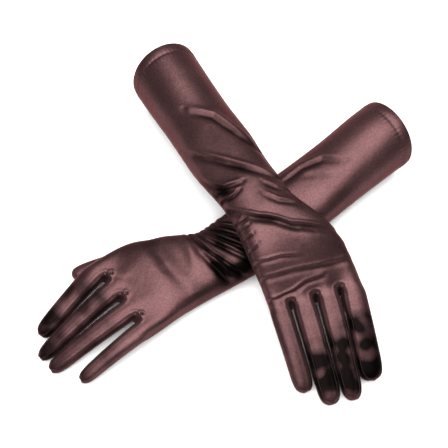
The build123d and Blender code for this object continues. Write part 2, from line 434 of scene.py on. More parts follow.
SATIN = Cloth(
    name="satin",
    deep=(0.058, 0.0275, 0.0285),
    light=(0.078, 0.038, 0.039),
    roughness=0.4,
    gloss=0.5,
    sheen=0.04,
    sheen_tint=(0.75, 0.5, 0.52),
    anisotropy=0.3,
    lustre=0.86,
    edge_tint=(0.5, 0.35, 0.35),
    grain_depth=0.35,
    crumple_depth=0.16,
    fleck=0.2,
)
LINING = Cloth(
    name="lining",
    deep=(0.030, 0.016, 0.016),
    light=(0.050, 0.027, 0.027),
    roughness=0.62,
    gloss=0.4,
    sheen=0.1,
    sheen_tint=(0.6, 0.4, 0.4),
    anisotropy=0.0,
    lustre=0.2,
    edge_tint=(0.6, 0.45, 0.45),
    grain_depth=0.5,
    crumple_depth=0.1,
    fleck=0.15,
)
THREAD = Cloth(
    name="thread",
    deep=(0.018, 0.010, 0.010),
    light=(0.045, 0.024, 0.024),
    roughness=0.5,
    gloss=0.5,
    sheen=0.1,
    sheen_tint=(0.7, 0.5, 0.5),
    anisotropy=0.0,
    lustre=0.4,
    edge_tint=(0.6, 0.45, 0.45),
    grain_depth=0.6,
    crumple_depth=0.0,
    fleck=0.1,
)


# ---------------------------------------------------------------- the cage of a glove
Key = tuple[int, int]


def deselect_all() -> None:
    """Leaves nothing selected."""
    if bpy.context.mode != "OBJECT":
        bpy.ops.object.mode_set(mode="OBJECT")
    bpy.ops.object.select_all(action="DESELECT")


@dataclass
class Spot:
    """Where one corner of the cage goes, and its place on the flat cloth in millimetres."""

    point: Array
    along: float
    across: float
    upper: float
    arc: float
    shade: float = 0.0


def ring_middle(ring: list[Spot]) -> Array:
    """Returns the middle of a ring of corners."""
    return sum(spot.point for spot in ring) / len(ring)


def row_keys(row: int) -> list[Key]:
    """Returns the keys all round one row of the sleeve or the hand."""
    return [(row, slot) for slot in range(RING_SIZE)]


class Cage:
    """The coarse mesh of one glove, extruded ring by ring in edit mode.

    Each corner is known by a key: its row, and its number round the row.
    """

    def __init__(self, name: str, spots: list[Spot]) -> None:
        """Adds the ring of edges at the hem.

        Args:
            name: the object's name.
            spots: the ring's corners, in order.
        """
        deselect_all()
        bpy.ops.mesh.primitive_circle_add(vertices=len(spots), radius=0.03)
        self.object = bpy.context.active_object
        self.object.name = name
        mesh = self.object.data
        mesh.attributes.new("row", "INT", "POINT")
        mesh.attributes.new("slot", "INT", "POINT")
        mesh.attributes.new("place", "FLOAT_VECTOR", "POINT")
        mesh.attributes.new("arc", "FLOAT", "POINT")
        mesh.attributes.new("shade", "FLOAT", "POINT")
        mesh.attributes.new("panel", "INT", "FACE")
        bpy.ops.object.mode_set(mode="EDIT")
        bpy.ops.mesh.select_mode(type="EDGE")
        shape = self.edit()
        shape.verts.ensure_lookup_table()
        for number, spot in enumerate(spots):
            self.put(shape, shape.verts[number], (0, number), spot)
        bmesh.update_edit_mesh(mesh)

    def edit(self) -> bmesh.types.BMesh:
        """Returns the mesh as it stands in edit mode."""
        return bmesh.from_edit_mesh(self.object.data)

    def put(self, shape: bmesh.types.BMesh, corner: bmesh.types.BMVert, key: Key, spot: Spot) -> None:
        """Gives a corner its key and its place."""
        layers = shape.verts.layers
        corner[layers.int["row"]], corner[layers.int["slot"]] = key
        corner[layers.float_vector["place"]] = (spot.along, spot.across, spot.upper)
        corner[layers.float["arc"]] = spot.arc
        corner[layers.float["shade"]] = spot.shade
        corner.co = spot.point

    def corners(self, shape: bmesh.types.BMesh, selected: bool = False) -> dict[Key, bmesh.types.BMVert]:
        """Returns the corners by key, or only the selected ones."""
        row, slot = shape.verts.layers.int["row"], shape.verts.layers.int["slot"]
        return {(v[row], v[slot]): v for v in shape.verts if v.select or not selected}

    def select_edges(self, keys: list[Key], closed: bool) -> None:
        """Selects the edges between neighbouring keys."""
        bpy.ops.mesh.select_all(action="DESELECT")
        shape = self.edit()
        found = self.corners(shape)
        ends = list(zip(keys, keys[1:] + keys[:1])) if closed else list(zip(keys, keys[1:]))
        for first, second in ends:
            shape.edges.get((found[first], found[second])).select_set(True)
        bmesh.update_edit_mesh(self.object.data)

    def extrude(
        self,
        sources: list[Key],
        targets: list[Key],
        spots: list[Spot],
        panels: list[int],
        closed: bool = True,
    ) -> None:
        """Extrudes a row of edges to a new row.

        Args:
            sources: keys of the row that exists.
            targets: keys that the new corners get.
            spots: where the new corners go.
            panels: the panel of each new face, by the edge that it grows from.
            closed: whether the row is a ring.
        """
        self.select_edges(sources, closed)
        bpy.ops.mesh.extrude_edges_indiv()
        shape = self.edit()
        fresh = self.corners(shape, selected=True)
        numbers = {}
        for number, (source, target, spot) in enumerate(zip(sources, targets, spots)):
            corner = fresh[source]
            self.put(shape, corner, target, spot)
            numbers[corner] = number
        panel = shape.faces.layers.int["panel"]
        for face in {face for corner in numbers for face in corner.link_faces}:
            ends = sorted(numbers[v] for v in face.verts if v in numbers)
            edge = ends[0] if ends[1] - ends[0] == 1 else ends[1]
            face[panel] = panels[edge]
        bmesh.update_edit_mesh(self.object.data)

    def fill(self, keys: list[Key], panel: int) -> None:
        """Fills a face between four corners."""
        bpy.ops.mesh.select_all(action="DESELECT")
        bpy.ops.mesh.select_mode(type="VERT")
        shape = self.edit()
        found = self.corners(shape)
        for key in keys:
            found[key].select_set(True)
        bmesh.update_edit_mesh(self.object.data)
        bpy.ops.mesh.edge_face_add()
        shape = self.edit()
        found = self.corners(shape)
        wanted = {found[key] for key in keys}
        for face in found[keys[0]].link_faces:
            if set(face.verts) == wanted:
                face[shape.faces.layers.int["panel"]] = panel
        bmesh.update_edit_mesh(self.object.data)
        bpy.ops.mesh.select_mode(type="EDGE")

    def open_patch(self, keys: list[Key]) -> None:
        """Deletes the faces whose corners are all among the keys."""
        bpy.ops.mesh.select_all(action="DESELECT")
        bpy.ops.mesh.select_mode(type="FACE")
        shape = self.edit()
        found = self.corners(shape)
        patch = {found[key] for key in keys}
        for face in shape.faces:
            if set(face.verts) <= patch:
                face.select_set(True)
        bmesh.update_edit_mesh(self.object.data)
        bpy.ops.mesh.delete(type="FACE")
        bpy.ops.mesh.select_mode(type="EDGE")

    def close_tip(self, last: list[Key], spot: Spot, panels: list[int]) -> None:
        """Draws a ring together to one point.

        Args:
            last: the keys of the ring.
            spot: the point.
            panels: the panel of each closing face.
        """
        row = last[0][0] + 1
        self.extrude(last, [(row, number) for number in range(len(last))], [spot] * len(last), panels)
        bpy.ops.mesh.remove_doubles(threshold=1e-6)

    def finish(self, creases: dict[frozenset, float]) -> bpy.types.Object:
        """Turns the faces outwards, sharpens the seams and smooths the cage.

        Args:
            creases: how sharp the edge between two panels is.

        Returns:
            The smooth skin, in object mode.
        """
        bpy.ops.mesh.select_all(action="SELECT")
        bpy.ops.mesh.normals_make_consistent(inside=False)
        shape = self.edit()
        panel = shape.faces.layers.int["panel"]
        sharp = shape.edges.layers.float.get("crease_edge")
        if sharp is None:
            sharp = shape.edges.layers.float.new("crease_edge")
        for edge in shape.edges:
            sides = frozenset(face[panel] for face in edge.link_faces)
            edge[sharp] = creases.get(sides, 0.0)
        bmesh.update_edit_mesh(self.object.data)
        highest = max(self.edit().faces, key=lambda face: face.calc_center_median().z)
        if highest.normal.z < 0:
            bpy.ops.mesh.flip_normals()
        bpy.ops.object.mode_set(mode="OBJECT")
        smoother = self.object.modifiers.new("smooth", "SUBSURF")
        smoother.levels = SMOOTH_LEVELS
        smoother.render_levels = SMOOTH_LEVELS
        bpy.ops.object.modifier_apply(modifier=smoother.name)
        return self.object


# ---------------------------------------------------------------- folds and seams
@dataclass(frozen=True)
class Fold:
    """A crease of the cloth: a raised ridge with a groove along one side.

    line is a row of (along, across) points in millimetres, from the wrist line towards the
    fingertips, and from the middle of the glove towards the thumb. The groove lies on the
    left of the line as one walks along it where groove_side is 1, and on the right at -1.
    """

    line: tuple
    ridge: float
    width: float
    groove: float = 0.0
    groove_width: float = 3.0
    groove_side: int = 1
    under: bool = False

    def lift(self, along: Array, across: Array, upper: Array) -> tuple[Array, Array]:
        """Works out how far the fold moves the cloth outwards.

        Args:
            along: distances from the wrist line, in millimetres.
            across: distances from the middle of the glove.
            upper: 1 on the crown, 0 at the sides and -1 below.

        Returns:
            The lift of each point in millimetres, and how deep in the groove it lies, for the painted shade.
        """
        knots = np.array(self.line, dtype=float)
        steps = np.linalg.norm(np.diff(knots, axis=0), axis=1)
        total = steps.sum()
        best = np.full(len(along), 1e9)
        signed = np.zeros(len(along))
        share = np.zeros(len(along))
        walked = 0.0
        for start, end, length in zip(knots, knots[1:], steps):
            way = (end - start) / length
            ahead = (along - start[0]) * way[0] + (across - start[1]) * way[1]
            aside = way[0] * (across - start[1]) - way[1] * (along - start[0])
            held = np.clip(ahead, 0, length)
            gap = np.hypot(aside, ahead - held)
            nearer = gap < best
            best = np.where(nearer, gap, best)
            signed = np.where(nearer, np.copysign(gap, aside), signed)
            share = np.where(nearer, (walked + held) / total, share)
            walked += length
        fade = np.sin(np.pi * np.clip(0.06 + 0.88 * share, 0, 1)) ** 0.7
        crest = self.ridge * np.exp(-((best / self.width) ** 2))
        trough_at = self.groove_side * (self.width + self.groove_width) * 0.75
        trough = self.groove * np.exp(-(((signed - trough_at) / self.groove_width) ** 2))
        reach = np.exp(-((np.maximum(best - 2.5 * (self.width + self.groove_width), 0)) ** 2))
        facing = smooth_step((-upper if self.under else upper) * 2.5 + 0.35)
        return (crest - trough) * fade * facing * reach, trough * fade * facing


@dataclass(frozen=True)
class ShadePatch:
    """A soft patch of painted shade on the flat cloth, in millimetres, turned by some degrees."""

    along: float
    across: float
    length: float
    breadth: float
    depth: float
    turn: float = 0.0

    def level(self, along: Array, across: Array) -> Array:
        """Returns how deep the painted shade lies at each point."""
        cos, sin = math.cos(math.radians(self.turn)), math.sin(math.radians(self.turn))
        ahead = (along - self.along) * cos + (across - self.across) * sin
        aside = (across - self.across) * cos - (along - self.along) * sin
        return self.depth * np.exp(-((ahead / self.length) ** 2) - (aside / self.breadth) ** 2)


# Shade painted on each finger: where it starts and ends, as shares of the finger's length, and
# how deep it is. It makes satin look turned away from the light, and stays under any lamp.
RIGHT_SHADES: dict = {
    "little": ((0.0, 1.2, 0.3), (0.72, 0.80, 0.6)),
    "ring": ((0.0, 1.2, 0.25), (0.38, 0.95, 0.97)),
    "middle": ((0.0, 1.2, 0.25), (0.34, 0.96, 0.98)),
    "index": ((0.0, 0.3, 0.15), (0.27, 1.03, 0.98)),
}
LEFT_SHADES: dict = {
    "little": ((0.48, 0.62, 0.55), (0.9, 1.2, 0.5)),
    "ring": ((0.20, 0.36, 0.3), (0.46, 0.6, 0.6), (0.8, 1.2, 0.55)),
    "middle": ((0.10, 0.50, 0.75), (0.68, 1.2, 0.85)),
    "index": ((0.16, 0.50, 0.75), (0.66, 1.2, 0.9)),
}
# The same kind of painted shade on the sleeves and the hands.
RIGHT_SHADE_PATCHES: tuple = (
    ShadePatch(-62, 27, 42, 8, 0.45),
    ShadePatch(-38, -2, 12, 26, 0.35, 25),
    ShadePatch(-30, -30, 18, 8, 0.45),
    ShadePatch(-10, 6, 9, 24, 0.4, 25),
    ShadePatch(18, 20, 14, 16, 0.3),
    ShadePatch(60, 34, 12, 14, 0.3),
    ShadePatch(80, 6, 8, 26, 0.2),
)
LEFT_SHADE_PATCHES: tuple = (
    ShadePatch(-24, 0, 19, 40, 0.62, -15),
    ShadePatch(-30, -28, 26, 14, 0.8),
    ShadePatch(-3, -18, 9, 14, 0.8, 20),
    ShadePatch(37, 12, 9, 30, 0.5, 5),
    ShadePatch(26, -30, 16, 10, 0.5),
    ShadePatch(60, 34, 26, 7, 0.3),
    ShadePatch(-125, -26, 60, 9, 0.25),
)
RIGHT_FOLDS: list = [
    # the sleeve
    Fold(((-124, -7), (-107, 11), (-84, 20), (-57, 29)), 1.4, 3.0, 2.4, 4.0, -1),
    Fold(((-92, -30), (-71, -18), (-53, -4), (-35, 12), (-20, 25)), 1.6, 2.4, 2.2, 3.8, -1),
    Fold(((-65, -34), (-45, -28), (-34, -21), (-30, -8)), 1.7, 2.0, 2.4, 2.4, -1),
    Fold(((-44, -34), (-34, -29), (-25, -15)), 1.4, 1.6, 2.1, 2.2, -1),
    Fold(((-70, 30), (-48, 31), (-26, 29)), -1.6, 5.0),
    # the wrist
    Fold(((-26, -31), (-22, -23), (-23, -14)), 1.7, 1.3, 1.8, 1.7, -1),
    Fold(((-17, -30), (-4, -21), (7, -12), (17, -1), (28, 9), (37, 25), (43, 38)), 2.2, 1.8, 3.1, 4.4, -1),
    Fold(((-8, 6), (4, 14), (12, 26)), 0.9, 1.6, 1.1, 2.6, -1),
    Fold(((-18, 12), (-8, 20), (-2, 28)), 0.8, 1.5, 1.0, 2.4, -1),
    Fold(((0, -22), (1, -33)), 1.2, 1.3, 1.4, 1.7, 1),
    Fold(((9, -24), (9, -34)), 0.9, 1.2, 1.1, 1.6, 1),
    Fold(((19, -27), (18, -37)), 1.2, 1.3, 1.4, 1.7, 1),
    Fold(((31, -30), (31, -41)), 1.0, 1.3, 1.3, 1.7, 1),
    # the hand
    Fold(((43, -44), (48, -30), (50, -18), (55, -3)), 1.0, 1.2, 1.0, 2.0, -1),
    Fold(((59, -45), (62, -28), (64, -8), (67, 15), (68, 42)), 1.2, 1.3, 1.4, 2.6, -1),
    Fold(((79, -46), (81, -35), (79, -18), (75, -6), (75, 11)), 1.2, 1.2, 1.3, 2.2, -1),
    Fold(((52, 20), (58, 32), (62, 42)), -1.2, 4.5),
]
LEFT_FOLDS: list = [
    # the sleeve
    Fold(((-100, 24), (-125, 23), (-145, 15), (-156, 0)), 1.0, 3.0, 2.0, 3.6, 1),
    Fold(((-118, 18), (-130, 8), (-141, -6)), 0.5, 3.0, 0.8, 3.5, 1),
    # the wrist
    Fold(((-5, 27), (-14, 10), (-26, -10), (-32, -20)), 2.0, 1.7, 2.2, 2.4, 1),
    Fold(((-9, 29), (-21, 10), (-33, -8), (-40, -16)), 2.0, 1.7, 2.2, 2.4, 1),
    Fold(((-14, 30), (-28, 12), (-40, -2)), 1.8, 1.7, 2.2, 2.4, 1),
    Fold(((-20, 31), (-34, 16), (-46, 4)), 1.7, 1.7, 2.1, 2.4, 1),
    Fold(((-28, 31), (-42, 19), (-52, 8)), 1.6, 1.7, 2.0, 2.4, 1),
    Fold(((3, 29), (-6, 0), (-18, -23), (-22, -29)), 1.2, 1.1, 2.7, 1.9, 1),
    Fold(((0, 6), (-4, -8), (-9, -23), (-14, -30)), 2.5, 3.2, 2.0, 3.0, 1),
    # the hand
    Fold(((7, 30), (10, 22), (13, 5), (16, -12)), 2.0, 5.5),
    Fold(((38, 40), (37, 20), (36, 1), (30, -32)), -2.9, 8.5),
    Fold(((3, -6), (-2, -16), (-3, -26)), -1.7, 4.0),
    Fold(((72, 6), (76, 12), (80, 18)), -0.7, 3.0),
]


# ---------------------------------------------------------------- one glove

@dataclass
class Digit:
    """A finger or the thumb: where it starts and ends, and its sections on the way."""

    name: str
    root: Array
    tip: Array
    stations: list[Station]

    @property
    def heading(self) -> Array:
        """The level direction from root to tip."""
        return flat_unit(self.tip - self.root)

    @property
    def length(self) -> float:
        """The level length from root to tip."""
        return float(np.linalg.norm((self.tip - self.root)[:2]))


@dataclass
class Glove:
    """One whole glove of the pair: its skin, its panels and their stitching."""

    side: Side
    folds: list
    shades: dict
    patches: tuple
    sleeve_rings: int = 24
    hand_rings: int = 11
    hem_depth: float = 0.012
    cloth: float = 0.0005
    spread_start: float = 0.5
    web_back: float = 0.0042
    web_forward: float = 0.001
    seam_width: float = 0.0011
    seam_depth: float = 0.0005
    stitch_gap: float = 0.0021
    # Painted shade laid into the grooves of the folds and the hollows of the knots.
    groove_shade: float = 0.3
    knotted: bool = False
    finger_fill: float = 1.06
    rest_gap: float = 0.0009
    settle_rounds: int = 30
    wrist_span: tuple = (-0.008, 0.040)
    thumb_span: tuple = (0.004, 0.034)
    knuckle_span: tuple = (0.0045, 0.026)

    def __post_init__(self) -> None:
        """Measures the glove's part of the frame."""
        self.measure_sleeve()
        self.measure_hand()
        self.digits = [self.measure_finger(finger) for finger in FINGERS]
        self.thumb = self.measure_thumb()

    # ---- names of the frame's parts
    def node(self, part: str) -> str:
        """Returns the full name of one of this glove's nodes or bodies."""
        return f"{self.side.value}_{part}"

    @property
    def thumb_turn(self) -> float:
        """Degrees from the heading to the thumb side."""
        return 90.0 if self.side is Side.RIGHT else -90.0

    def across_of(self, heading: Array) -> Array:
        """Returns the level direction towards the thumb for a heading."""
        return turned(heading, self.thumb_turn)

    # ---- measuring
    def hinge(self, name: str) -> tuple[Array, Array]:
        """Returns a hinge's place, and the heading that it bends."""
        found = joint(self.node(name))
        axis = found["axis"]
        return np.array(found["pos_m"], dtype=float), flat_unit([-axis[1], axis[0], 0.0])

    def measure_sleeve(self) -> None:
        """Measures the sleeve's sections from the hem to the wrist."""
        names = [self.node("sleeve_back"), self.node("sleeve_front")]
        self.wrist, wrist_heading = self.hinge("wrist")
        points = node_points(self.node("cuff_hem"))
        middle = (points.min(0) + points.max(0)) / 2
        chord = flat_unit(self.wrist - middle)
        reach = (points - middle) @ chord
        high, low = points[:, 2].max(), points[:, 2].min()
        top_end = reach[points[:, 2] > high - 0.006].min()
        bottom_end = reach[points[:, 2] < low + 0.006].min()
        self.lean = (bottom_end - top_end) / (high - low)
        mouth = middle + chord * (top_end + bottom_end) / 2
        span = self.wrist - mouth
        stations = []
        for number in range(self.sleeve_rings):
            share = number / self.sleeve_rings
            bent = float(smooth_step((share - 0.7) / 0.3))
            heading = flat_unit(chord * (1 - bent) + wrist_heading * bent)
            held = min(max(share, 0.09), 0.995)
            section = measure(names, mouth + span * held, heading, self.across_of(heading))
            if share < held:
                step = span * (share - held)
                section.centre = section.centre + np.array([step[0], step[1], 0.0])
            stations.append(section)
        self.sleeve = stations
        self.wrist_heading = wrist_heading

    def measure_hand(self) -> None:
        """Measures the hand's sections from the wrist to the knuckles."""
        names = [self.node("hand_back"), self.node("hand_palm")]
        hinges = [self.hinge(f"{finger.value}_knuckle") for finger in FINGERS]
        self.knuckle_heading = hinges[0][1]
        knuckles = np.mean([place for place, _ in hinges], axis=0)
        stations = []
        for number in range(self.hand_rings):
            share = number / (self.hand_rings - 1)
            heading = flat_unit(self.wrist_heading * (1 - share) + self.knuckle_heading * share)
            point = self.wrist + (knuckles - self.wrist) * min(max(share, 0.015), 0.975)
            stations.append(measure(names, point, heading, self.across_of(heading)))
        middle = stations[-1]
        step = (knuckles - middle.centre) @ self.knuckle_heading
        middle.centre = middle.centre + self.knuckle_heading * step
        self.hand = stations
        rows = with_lengths(blended(self.sleeve + self.hand), len(self.sleeve))
        self.rows = rows

    def measure_finger(self, finger: Finger) -> Digit:
        """Measures one finger's sections."""
        names = [name for name in frame["nodes"] if name.startswith(self.node(finger.value) + "_")]
        root, _ = self.hinge(f"{finger.value}_knuckle")
        return self.measure_digit(finger.value, names, root, 0.06)

    def measure_digit(self, name: str, names: list[str], root: Array, first: float) -> Digit:
        """Measures a finger or the thumb.

        Args:
            name: what the digit is called.
            names: its nodes.
            root: a point over the middle of its root.
            first: the share of its length where the first section is cut.

        Returns:
            The digit with sections from its root to its tip.
        """
        points = np.vstack([node_points(node) for node in names])
        gaps = np.linalg.norm((points - root)[:, :2], axis=1)
        tip = points[gaps > gaps.max() - 0.003].mean(0)
        heading = flat_unit(tip - root)
        tip = tip + heading * (((points - tip) @ heading).max())
        across = self.across_of(heading)
        stations = []
        for share in (first, 0.25, 0.45, 0.65, 0.82, 0.9):
            point = root + (tip - root) * share
            section = measure(names, point, heading, across)
            section.along = share
            stations.append(section)
        return Digit(name, root, tip, stations)

    def measure_thumb(self) -> Digit:
        """Measures the thumb, whose hinge is at the outer corner of its root."""
        hinge = np.array(joint(self.node("thumb_swing"))["pos_m"], dtype=float)
        points = node_points(self.node("thumb"))
        gaps = np.linalg.norm((points - hinge)[:, :2], axis=1)
        tip = points[gaps > gaps.max() - 0.003].mean(0)
        inwards = self.across_of(flat_unit(tip - hinge)) * -0.012
        return self.measure_digit("thumb", [self.node("thumb")], hinge + inwards, 0.3)

    @property
    def web_setbacks(self) -> dict[int, float]:
        """How far behind the knuckle line the tops of the three slots between fingers lie."""
        return {slot: self.web_back for number in range(GAPS) for slot in (3 * number + 3, 3 * number + 4)}

    # ---- shaping the cage
    def ring_share(self, number: int) -> tuple[float, float]:
        """Returns how far across and how far up a corner of an even ring lies."""
        angle = 2 * math.pi * number / RING_SIZE
        return -math.cos(angle), math.sin(angle)

    def even_ring(self, station: Station) -> list[tuple[float, float]]:
        """Returns the corners (across, up) of a rounded ring in metres."""
        height = (station.top + station.bottom) / 2
        squareness = float(np.clip((station.half_width / height - 1) / 1.2, 0, 1))
        power = 1 - 0.3 * squareness
        corners = []
        for number in range(RING_SIZE):
            sideways, up = self.ring_share(number)
            width = math.copysign(abs(sideways) ** power, sideways) * station.half_width
            level = station.top if up > 0 else station.bottom
            corners.append((width * 1.008, math.copysign(abs(up) ** power, up) * level * 1.01))
        return corners

    def knuckle_ring(self, station: Station) -> list[tuple[float, float]]:
        """Returns the corners (across, up) of the ring where the fingers part."""
        corners = [(0.0, 0.0)] * RING_SIZE
        middle = station.centre
        for number, digit in enumerate(self.digits):
            offset = float((digit.root - middle) @ station.across)
            half = digit.stations[0].half_width
            crown = digit.stations[0].centre[2] + digit.stations[0].top - middle[2]
            sole = digit.stations[0].centre[2] - digit.stations[0].bottom - middle[2]
            for place, share in enumerate((-0.66, 0.0, 0.66)):
                top = 1 + 3 * number + place
                rise = 0.0022 if place == 1 else 0.0008
                corners[top] = (offset + half * share, crown + rise)
                corners[RING_SIZE - top] = (offset + half * share, sole - 0.0005)
        for slot, edge, side in ((0, self.digits[0], -1), (HALF_RING, self.digits[-1], 1)):
            reach = side * edge.stations[0].half_width * 1.04
            corners[slot] = (float((edge.root - middle) @ station.across) + reach, -0.001)
        return corners

    def ring_spots(self, number: int) -> list[Spot]:
        """Returns the corners of one row of the sleeve or the hand."""
        station = self.rows[number]
        corners = self.even_ring(station)
        into_hand = (number - len(self.sleeve)) / (self.hand_rings - 1)
        spread = float(smooth_step((into_hand - self.spread_start) / (1 - self.spread_start)))
        if spread > 0:
            fingers = self.knuckle_ring(self.rows[-1])
            corners = [
                (even[0] * (1 - spread) + parted[0] * spread, even[1] * (1 - spread) + parted[1] * spread)
                for even, parted in zip(corners, fingers)
            ]
        return self.placed_ring(station, corners)

    def placed_ring(self, station: Station, corners: list[tuple[float, float]]) -> list[Spot]:
        """Puts a ring of corners in its place, leaning near the hem.

        Args:
            station: the section that the ring belongs to.
            corners: how far across and up each corner is.

        Returns:
            The corners in space and on the flat cloth.
        """
        near_hem = float(smooth_step(1 - (station.along - self.rows[0].along) / 0.07))
        webs = self.web_setbacks if station is self.rows[-1] else {}
        spots = []
        walked = 0.0
        for place in range(HALF_RING + 1):
            across, up = corners[place]
            if place:
                last = corners[place - 1]
                walked += math.hypot(across - last[0], up - last[1])
            for slot, (wide, high), sign in (
                (place, corners[place], 1.0),
                ((RING_SIZE - place) % RING_SIZE, corners[(RING_SIZE - place) % RING_SIZE], -1.0),
            ):
                if sign < 0 and place in (0, HALF_RING):
                    continue
                point = station.centre + station.across * wide + UP * high
                point = point - station.heading * (self.lean * high * near_hem + webs.get(slot, 0.0))
                upper = sign * abs(self.ring_share(place)[1])
                spots.append((slot, Spot(point, station.along / MM, wide / MM, upper, walked / MM)))
        spots.sort(key=lambda pair: pair[0])
        return [spot for _, spot in spots]

    def ring_panels(self, number: int) -> list[int]:
        """Returns the panel of each face between the row before and this one."""
        sleeve = number <= len(self.sleeve)
        back = Panel.SLEEVE_BACK if sleeve else Panel.HAND_BACK
        palm = Panel.SLEEVE_FRONT if sleeve else Panel.HAND_PALM
        return [back.value if slot < HALF_RING else palm.value for slot in range(RING_SIZE)]

    def build_cage(self) -> bpy.types.Object:
        """Extrudes the whole glove and smooths it.

        Returns:
            The skin.
        """
        cage = Cage(self.node("skin"), self.ring_spots(0))
        last = len(self.rows) - 1
        for number in range(1, last + 1):
            cage.extrude(
                row_keys(number - 1),
                row_keys(number),
                self.ring_spots(number),
                self.ring_panels(number),
            )
        self.add_thumb(cage)
        for number in range(GAPS):
            self.add_web(cage, number, last)
        for number in range(len(FINGERS)):
            self.add_finger(cage, number, last)
        return cage.finish(self.seam_sharpness())

    def add_web(self, cage: Cage, number: int, last: int) -> None:
        """Joins the top of the knuckle row to its underside between two fingers."""
        left, right = 3 * number + 3, 3 * number + 4
        shape = cage.edit()
        found = cage.corners(shape)
        spots = []
        for slot in (left, right):
            above = np.array(found[(last, slot)].co)
            below = np.array(found[(last, RING_SIZE - slot)].co)
            sign = 1 if slot == left else -1
            middle = above * 0.62 + below * 0.38 + self.knuckle_heading * self.web_forward
            middle = middle + self.rows[-1].across * sign * 0.0022
            along, across, _ = found[(last, slot)][shape.verts.layers.float_vector["place"]]
            spots.append(Spot(middle, along, across, 0.0, 12.0))
        panel = Panel.FOURCHETTE_INNER.value + number
        knuckles, web = [(last, left), (last, right)], [(WEB_ROW, left), (WEB_ROW, right)]
        cage.extrude(knuckles, web, spots, [panel], closed=False)
        cage.fill([*web, (last, RING_SIZE - right), (last, RING_SIZE - left)], panel)

    def finger_root(self, number: int, last: int) -> list[Key]:
        """Returns the eight corners that a finger grows from."""
        first = 1 + 3 * number
        outer = (last, 0) if number == 0 else (WEB_ROW, first)
        inner = (last, HALF_RING) if number == GAPS else (WEB_ROW, first + 2)
        top = [(last, first), (last, first + 1), (last, first + 2)]
        sole = [(last, RING_SIZE - first - 2), (last, RING_SIZE - first - 1), (last, RING_SIZE - first)]
        return [outer, *top, inner, *sole]

    def finger_panels(self, number: int) -> list[int]:
        """Returns the panel of each of a finger's eight faces round."""
        back, palm = Panel.FINGER_BACK.value + number, Panel.FINGER_PALM.value + number
        outer = Panel.FOURCHETTE_OUTER.value + number if number else 0
        inner = Panel.FOURCHETTE_INNER.value + number if number < GAPS else 0
        return [outer or back, back, back, inner or back, inner or palm, palm, palm, outer or palm]

    def shade_of(self, name: str, share: float) -> float:
        """Returns how deep a digit's painted shade lies at a share of its length."""
        dark = 0.0
        for start, end, depth in self.shades.get(name, ()):
            rise = smooth_step((share - start) / 0.09 + 0.5) - smooth_step((share - end) / 0.09 + 0.5)
            dark = max(dark, float(rise) * depth)
        return dark

    def digit_ring(self, digit: Digit, share: float, corner: float, base: Station, lift: float) -> list[Spot]:
        """Returns the eight corners of a digit's ring.

        Args:
            digit: the finger or thumb.
            share: how far along it, from 0 to 1.
            corner: how far out the seams lie, as a share of the half width.
            base: the row that the digit's flat cloth counts from.
            lift: how far the digit arches above its straight line, in metres.

        Returns:
            The corners from the outer side over the back to the inner side and below.
        """
        section = interpolate(digit.stations, share)
        centre = digit.root + (digit.tip - digit.root) * share
        centre = np.array([centre[0], centre[1], section.centre[2] + lift])
        across = self.across_of(digit.heading)
        wide, high = section.half_width * self.finger_fill, section.top * 1.08
        side = 0.42 * (1 - share) ** 2
        shape = [
            (-1.0, side), (-corner, 0.82), (0.0, 1.02), (corner, 0.82),
            (1.0, side), (corner, -0.82), (0.0, -1.0), (-corner, -0.82),
        ]
        along = base.along + share * digit.length
        middle = float((centre - base.centre) @ base.across)
        spots = []
        for sideways, up in shape:
            point = centre + across * wide * sideways + UP * high * up
            arc = abs(sideways) * wide + (high if up <= 0 else 0)
            shade = self.shade_of(digit.name, share)
            spots.append(Spot(point, along / MM, (middle + wide * sideways) / MM, up, arc / MM, shade))
        return spots

    def draw_in(self, ring: list[Spot], size: float) -> None:
        """Draws a ring in towards its middle, near a digit's tip."""
        middle = ring_middle(ring)
        for spot in ring:
            spot.point = middle + (spot.point - middle) * size

    def close_digit(
        self, cage: Cage, digit: Digit, sources: list[Key], base: Station, panels: list[int]
    ) -> None:
        """Closes a digit at its tip."""
        end = self.digit_ring(digit, 1.0, 0.7, base, 0.0)
        crown = end[2]
        cage.close_tip(sources, Spot(ring_middle(end), crown.along, crown.across, 0.5, 0.0), panels)

    def add_finger(self, cage: Cage, number: int, last: int) -> None:
        """Extrudes one finger to its closed tip."""
        digit = self.digits[number]
        panels = self.finger_panels(number)
        sources = self.finger_root(number, last)
        base = self.rows[-1]
        shares = (0.07, 0.15, 0.25, 0.36, 0.48, 0.6, 0.72, 0.83, 0.925, 0.975)
        for step, share in enumerate(shares):
            corner = 0.66 + 0.12 * share
            lift = 0.0035 * math.sin(math.pi * share) ** 0.8
            ring = self.digit_ring(digit, share, corner, base, lift)
            if share > 0.9:
                self.draw_in(ring, 0.9 if share < 0.95 else 0.62)
            row = FINGER_ROW + FINGER_ROWS_APART * number + step
            targets = [(row, slot) for slot in range(DIGIT_CORNERS)]
            cage.extrude(sources, targets, ring, panels)
            sources = targets
        self.close_digit(cage, digit, sources, base, panels)

    def thumb_rows(self) -> list[int]:
        """Returns the three rows of the hand that the thumb grows from."""
        side = [row.centre + row.across * row.half_width for row in self.rows]
        first = len(self.sleeve) + 1
        gaps = [np.linalg.norm((side[row] - self.thumb.root)[:2]) for row in range(first, len(self.rows) - 2)]
        middle = first + int(np.argmin(gaps))
        return [middle - 1, middle, middle + 1]

